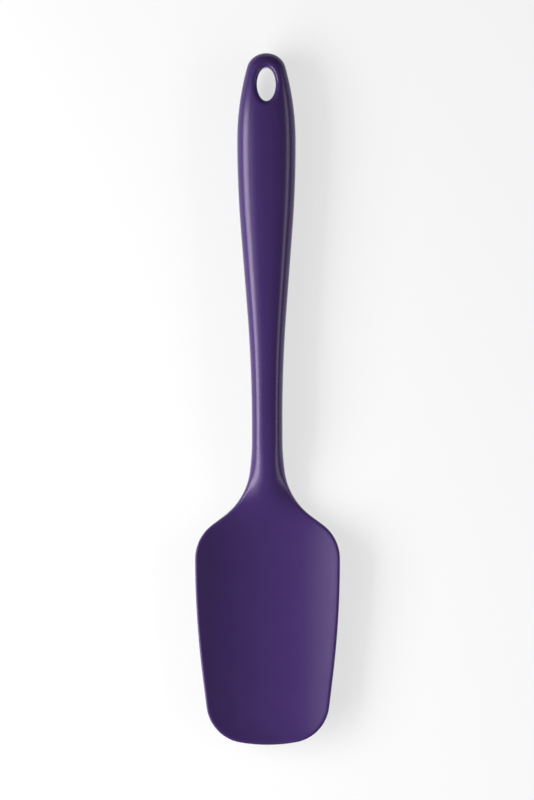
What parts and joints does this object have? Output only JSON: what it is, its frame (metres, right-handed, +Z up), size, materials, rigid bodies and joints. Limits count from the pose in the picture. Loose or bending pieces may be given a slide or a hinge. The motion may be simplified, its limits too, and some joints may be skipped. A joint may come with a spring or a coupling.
{
  "type": "silicone spoon spatula",
  "caption": "Dished silicone blade with a thin rounded lip, flowing into an oval handle with a hang hole, moulded over a stiff hidden core.",
  "frame": {"origin": "middle of the length and width, on the surface that the spatula rests on, hollow side up", "axes": "+Y along the handle towards the hang hole, +X across the blade, +Z up out of the blade's hollow"},
  "size_m": [0.0586, 0.28, 0.0148],
  "materials": {
    "purple_silicone": "satin",
    "nylon": "matte"
  },
  "bodies": {
    "root": {"silicone_skin": "purple_silicone", "nylon_core": "nylon"}
  },
  "joints": []
}
